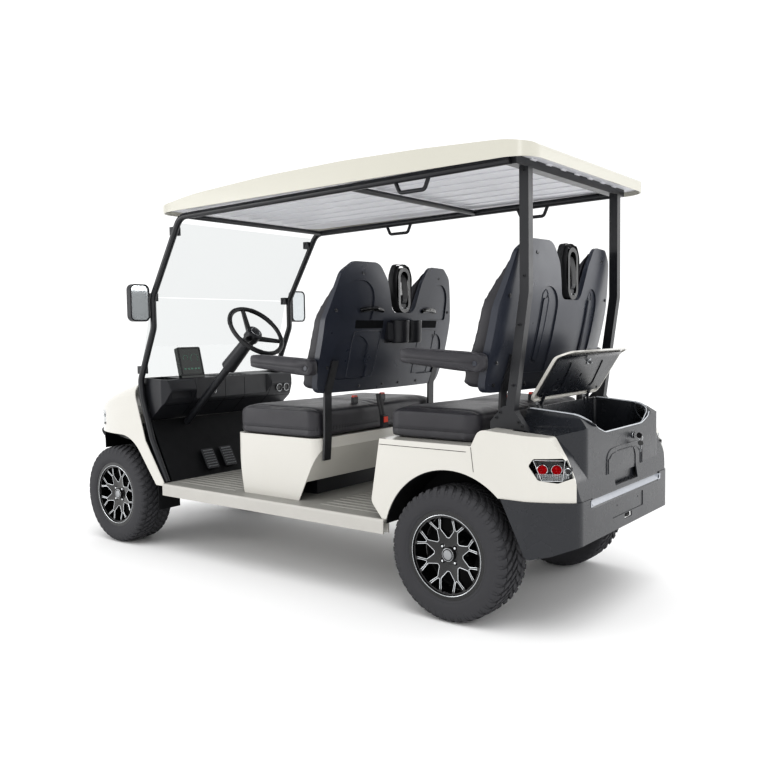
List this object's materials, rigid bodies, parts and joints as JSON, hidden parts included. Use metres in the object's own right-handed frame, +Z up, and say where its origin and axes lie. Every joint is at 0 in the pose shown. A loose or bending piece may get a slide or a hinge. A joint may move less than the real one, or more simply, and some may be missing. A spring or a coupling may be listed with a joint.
{
  "type": "golf cart",
  "caption": "Four-seat electric golf cart with forward-facing benches, a roof on slim pillars, an open rear boot with lid and flip-up armrests",
  "frame": {"origin": "bottom centre of the bounding box, on the ground", "axes": "+X to the left side of the cart, +Y to its rear, +Z up; metres"},
  "size_m": [1.426, 3.42, 2.0238],
  "materials": {
    "body_white": "gloss white paint",
    "clear_glass": "clear",
    "dark_plastic": "grained black plastic",
    "frame_steel": "satin black powder coat",
    "lamp_lens": "clear lens over lamps",
    "mirror_silver": "mirror glass",
    "rim_alloy": "machined face with black pockets",
    "screen": "gloss black screen",
    "seat_vinyl": "charcoal vinyl with a fine grain",
    "shell_plastic": "satin blue-grey plastic",
    "tyre_rubber": "black rubber",
    "wheel_grip": "soft black grip"
  },
  "bodies": {
    "chassis": {"battery_pack": "frame_steel", "belt_buckles": "dark_plastic", "belt_towers": "dark_plastic", "chassis_frame": "frame_steel", "dashboard": "dark_plastic", "display": "screen", "floor": "dark_plastic", "front_axle": "frame_steel", "front_back_shell": "shell_plastic", "front_backrest": "seat_vinyl", "front_body": "body_white", "front_bumper": "frame_steel", "front_cushion": "seat_vinyl", "front_liners": "dark_plastic", "grab_handles": "frame_steel", "headlamps": "lamp_lens", "leaf_springs": "frame_steel", "mirror_glass": "mirror_silver", "pedals": "dark_plastic", "rear_axle": "frame_steel", "rear_back_shell": "shell_plastic", "rear_backrest": "seat_vinyl", "rear_body": "body_white", "rear_bumper": "dark_plastic", "rear_cushion": "seat_vinyl", "rear_liners": "dark_plastic", "rear_pillars": "frame_steel", "roof": "body_white", "roof_cross_members": "frame_steel", "roof_liner": "dark_plastic", "roof_side_frames": "frame_steel", "seat_brackets": "frame_steel", "seat_organizer": "dark_plastic", "seat_pod": "body_white", "side_mirrors": "dark_plastic", "steering_column": "dark_plastic", "tail_lamps": "lamp_lens", "toe_board": "dark_plastic", "trunk_box": "dark_plastic", "windshield": "clear_glass", "windshield_fittings": "dark_plastic"},
    "wheel_front_left": {"tyre_front_left": "tyre_rubber", "rim_front_left": "rim_alloy"},
    "armrest_body_front_left": {"armrest_front_left": "shell_plastic"},
    "wheel_front_right": {"tyre_front_right": "tyre_rubber", "rim_front_right": "rim_alloy"},
    "armrest_body_front_right": {"armrest_front_right": "shell_plastic"},
    "wheel_rear_left": {"tyre_rear_left": "tyre_rubber", "rim_rear_left": "rim_alloy"},
    "armrest_body_rear_left": {"armrest_rear_left": "shell_plastic"},
    "wheel_rear_right": {"tyre_rear_right": "tyre_rubber", "rim_rear_right": "rim_alloy"},
    "armrest_body_rear_right": {"armrest_rear_right": "shell_plastic"},
    "knuckle_left": {"steering_knuckle_left": "frame_steel"},
    "knuckle_right": {"steering_knuckle_right": "frame_steel"},
    "tie_rod_body": {"tie_rod": "frame_steel"},
    "steering_wheel_body": {"steering_wheel": "wheel_grip"},
    "lid": {"lid_outer": "body_white", "lid_inner": "dark_plastic"}
  },
  "joints": [
    {"name": "steer_left", "type": "hinge", "parent": "chassis", "child": "knuckle_left", "pos_m": [0.4, -1.25, 0.292], "axis": [0, 0, 1], "range_deg": [-30, 30]},
    {"name": "steer_right", "type": "hinge", "parent": "chassis", "child": "knuckle_right", "pos_m": [-0.4, -1.25, 0.292], "axis": [0, 0, 1], "range_deg": [-30, 30]},
    {"name": "tie_rod_eye", "type": "hinge", "parent": "knuckle_left", "child": "tie_rod_body", "pos_m": [0.4, -1.12, 0.2703], "axis": [0, 0, 1], "range_deg": [-30, 30]},
    {"name": "steering_wheel_turn", "type": "hinge", "parent": "chassis", "child": "steering_wheel_body", "pos_m": [0.28, -0.345, 1.267], "axis": [0, 0.7559, 0.6547], "range_deg": [-360, 360]},
    {"name": "roll_front_left", "type": "hinge", "parent": "knuckle_left", "child": "wheel_front_left", "pos_m": [0.52, -1.25, 0.292], "axis": [1, 0, 0], "continuous": true},
    {"name": "roll_rear_left", "type": "hinge", "parent": "chassis", "child": "wheel_rear_left", "pos_m": [0.52, 1.15, 0.292], "axis": [1, 0, 0], "continuous": true},
    {"name": "roll_front_right", "type": "hinge", "parent": "knuckle_right", "child": "wheel_front_right", "pos_m": [-0.52, -1.25, 0.292], "axis": [1, 0, 0], "continuous": true},
    {"name": "roll_rear_right", "type": "hinge", "parent": "chassis", "child": "wheel_rear_right", "pos_m": [-0.52, 1.15, 0.292], "axis": [1, 0, 0], "continuous": true},
    {"name": "lid_hinge", "type": "hinge", "parent": "chassis", "child": "lid", "pos_m": [0, 1.4, 0.928], "axis": [1, 0, 0], "range_deg": [-63, 0]},
    {"name": "armrest_front_left_swing", "type": "hinge", "parent": "chassis", "child": "armrest_body_front_left", "pos_m": [0.582, 0.34064, 1.08], "axis": [1, 0, 0], "range_deg": [-75, 0]},
    {"name": "armrest_front_right_swing", "type": "hinge", "parent": "chassis", "child": "armrest_body_front_right", "pos_m": [-0.582, 0.34064, 1.08], "axis": [1, 0, 0], "range_deg": [-75, 0]},
    {"name": "armrest_rear_left_swing", "type": "hinge", "parent": "chassis", "child": "armrest_body_rear_left", "pos_m": [0.582, 1.29564, 1.114], "axis": [1, 0, 0], "range_deg": [-75, 0]},
    {"name": "armrest_rear_right_swing", "type": "hinge", "parent": "chassis", "child": "armrest_body_rear_right", "pos_m": [-0.582, 1.29564, 1.114], "axis": [1, 0, 0], "range_deg": [-75, 0]}
  ],
  "couplings": [
    {"joint": "steer_right", "follows": "steer_left", "ratio": 1},
    {"joint": "tie_rod_eye", "follows": "steer_left", "ratio": -1},
    {"joint": "steering_wheel_turn", "follows": "steer_left", "ratio": 12}
  ]
}
